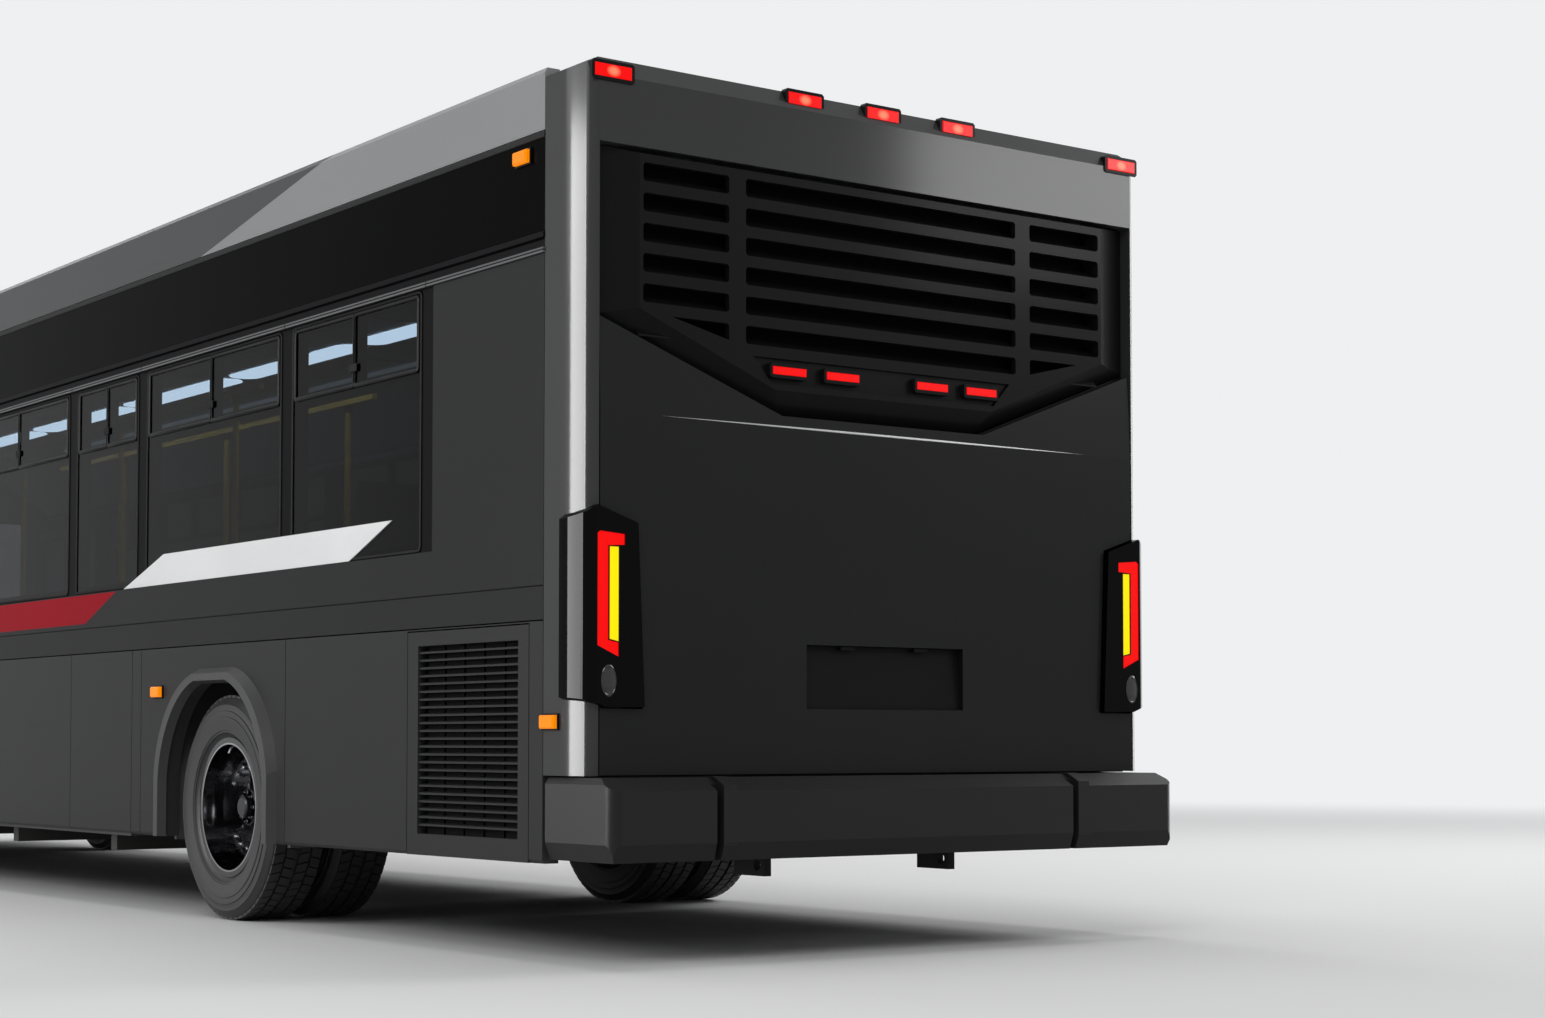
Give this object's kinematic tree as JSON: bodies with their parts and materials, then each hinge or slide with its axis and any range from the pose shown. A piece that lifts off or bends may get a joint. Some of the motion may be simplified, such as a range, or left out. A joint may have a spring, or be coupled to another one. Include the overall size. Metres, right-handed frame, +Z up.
{
  "type": "city bus",
  "caption": "Low-floor transit bus with dual rear wheels, two street-level doorways, louvred engine bay, opening rear and radiator doors and a fitted interior.",
  "frame": {"origin": "on the ground, at the middle of the bus's length and width", "axes": "+X to the driver's (street) side, +Y to the rear end, +Z up; the nose points to -Y"},
  "size_m": [3.08, 12.5, 3.0919],
  "materials": {
    "body_charcoal": "satin",
    "fairing_silver": "satin",
    "gloss_black": "gloss",
    "bumper_black": "matte",
    "black_metal": "satin",
    "steel_dark": "rough",
    "frame_steel": "satin",
    "wheel_polished": "polished",
    "tyre_rubber": "matte",
    "glass_dark": "clear",
    "glass_screen": "clear",
    "lens_red": "gloss",
    "lens_yellow": "gloss",
    "lens_amber": "gloss",
    "lens_clear": "gloss",
    "floor_grey": "matte",
    "seat_fabric": "woven",
    "dash_black": "matte",
    "light_panel": "matte",
    "rail_yellow": "gloss",
    "roof_white": "satin"
  },
  "bodies": {
    "vehicle": {"chassis_frame": "frame_steel", "tow_eyes": "frame_steel", "floor_deck": "floor_grey", "wheel_boxes": "floor_grey", "side_wall_street": "body_charcoal", "side_wall_curb": "body_charcoal", "side_glass": "glass_dark", "skirt_street": "body_charcoal", "skirt_curb": "body_charcoal", "wheel_arch_trims": "bumper_black", "roof_shell": "roof_white", "roof_fairings": "fairing_silver", "rear_cap": "body_charcoal", "rear_louvre": "black_metal", "tail_lamps": "gloss_black", "red_lamps": "lens_red", "amber_lamps": "lens_amber", "turn_bars": "lens_yellow", "lamp_bezels": "bumper_black", "bumper_rear": "bumper_black", "bumper_front": "bumper_black", "front_cap": "body_charcoal", "windscreen": "glass_screen", "headlamps": "lens_clear", "mirrors": "bumper_black", "front_axle": "steel_dark", "rear_axle": "steel_dark", "engine_block": "steel_dark", "seat_cushions": "seat_fabric", "seat_backs": "seat_fabric", "seat_legs": "frame_steel", "grab_rails": "rail_yellow", "ceiling_lights": "light_panel", "dashboard": "dash_black"},
    "radiator_door": {"radiator_door": "body_charcoal"},
    "engine_door": {"engine_door": "body_charcoal"},
    "roof_hatch_rear": {"roof_hatch_rear": "roof_white"},
    "roof_hatch_front": {"roof_hatch_front": "roof_white"},
    "rear_door_aft": {"rear_door_aft": "black_metal", "rear_door_aft_glass": "glass_dark"},
    "rear_door_fore": {"rear_door_fore": "black_metal", "rear_door_fore_glass": "glass_dark"},
    "front_door_aft": {"front_door_aft": "black_metal", "front_door_aft_glass": "glass_dark"},
    "front_door_fore": {"front_door_fore": "black_metal", "front_door_fore_glass": "glass_dark"},
    "knuckle_street": {"knuckle_street": "steel_dark"},
    "front_wheel_street": {"front_tyre_street": "tyre_rubber", "front_rim_street": "wheel_polished"},
    "rear_wheels_street": {"rear_tyres_street": "tyre_rubber", "rear_rims_street": "wheel_polished"},
    "knuckle_curb": {"knuckle_curb": "steel_dark"},
    "front_wheel_curb": {"front_tyre_curb": "tyre_rubber", "front_rim_curb": "wheel_polished"},
    "rear_wheels_curb": {"rear_tyres_curb": "tyre_rubber", "rear_rims_curb": "wheel_polished"}
  },
  "joints": [
    {"name": "steer_street", "type": "hinge", "parent": "vehicle", "child": "knuckle_street", "pos_m": [0.95, -3.95, 0.4785], "axis": [0, 0, 1], "range_deg": [-42, 42]},
    {"name": "spin_front_street", "type": "hinge", "parent": "knuckle_street", "child": "front_wheel_street", "pos_m": [1.115, -3.95, 0.4785], "axis": [1, 0, 0], "continuous": true},
    {"name": "spin_rear_street", "type": "hinge", "parent": "vehicle", "child": "rear_wheels_street", "pos_m": [1.122, 3.15, 0.4785], "axis": [1, 0, 0], "continuous": true},
    {"name": "steer_curb", "type": "hinge", "parent": "vehicle", "child": "knuckle_curb", "pos_m": [-0.95, -3.95, 0.4785], "axis": [0, 0, 1], "range_deg": [-42, 42]},
    {"name": "spin_front_curb", "type": "hinge", "parent": "knuckle_curb", "child": "front_wheel_curb", "pos_m": [-1.115, -3.95, 0.4785], "axis": [1, 0, 0], "continuous": true},
    {"name": "spin_rear_curb", "type": "hinge", "parent": "vehicle", "child": "rear_wheels_curb", "pos_m": [-1.122, 3.15, 0.4785], "axis": [1, 0, 0], "continuous": true},
    {"name": "engine_door_hinge", "type": "hinge", "parent": "vehicle", "child": "engine_door", "pos_m": [0, 6.076, 2.19], "axis": [1, 0, 0], "range_deg": [0, 80]},
    {"name": "radiator_door_hinge", "type": "hinge", "parent": "vehicle", "child": "radiator_door", "pos_m": [1.294, 4.8545, 0.75], "axis": [0, 0, -1], "range_deg": [0, 100]},
    {"name": "rear_door_aft_hinge", "type": "hinge", "parent": "vehicle", "child": "rear_door_aft", "pos_m": [-1.289, 2.084, 1.36], "axis": [0, 0, -1], "range_deg": [0, 85]},
    {"name": "rear_door_fore_hinge", "type": "hinge", "parent": "vehicle", "child": "rear_door_fore", "pos_m": [-1.289, 0.836, 1.36], "axis": [0, 0, 1], "range_deg": [0, 85]},
    {"name": "front_door_aft_hinge", "type": "hinge", "parent": "vehicle", "child": "front_door_aft", "pos_m": [-1.289, -4.616, 1.36], "axis": [0, 0, -1], "range_deg": [0, 85]},
    {"name": "front_door_fore_hinge", "type": "hinge", "parent": "vehicle", "child": "front_door_fore", "pos_m": [-1.289, -5.824, 1.36], "axis": [0, 0, 1], "range_deg": [0, 85]},
    {"name": "roof_hatch_rear_hinge", "type": "hinge", "parent": "vehicle", "child": "roof_hatch_rear", "pos_m": [0, 1.36, 2.946], "axis": [1, 0, 0], "range_deg": [0, 70]},
    {"name": "roof_hatch_front_hinge", "type": "hinge", "parent": "vehicle", "child": "roof_hatch_front", "pos_m": [0, -3.64, 2.946], "axis": [1, 0, 0], "range_deg": [0, 70]}
  ],
  "couplings": [
    {"joint": "steer_curb", "follows": "steer_street", "ratio": 1}
  ]
}
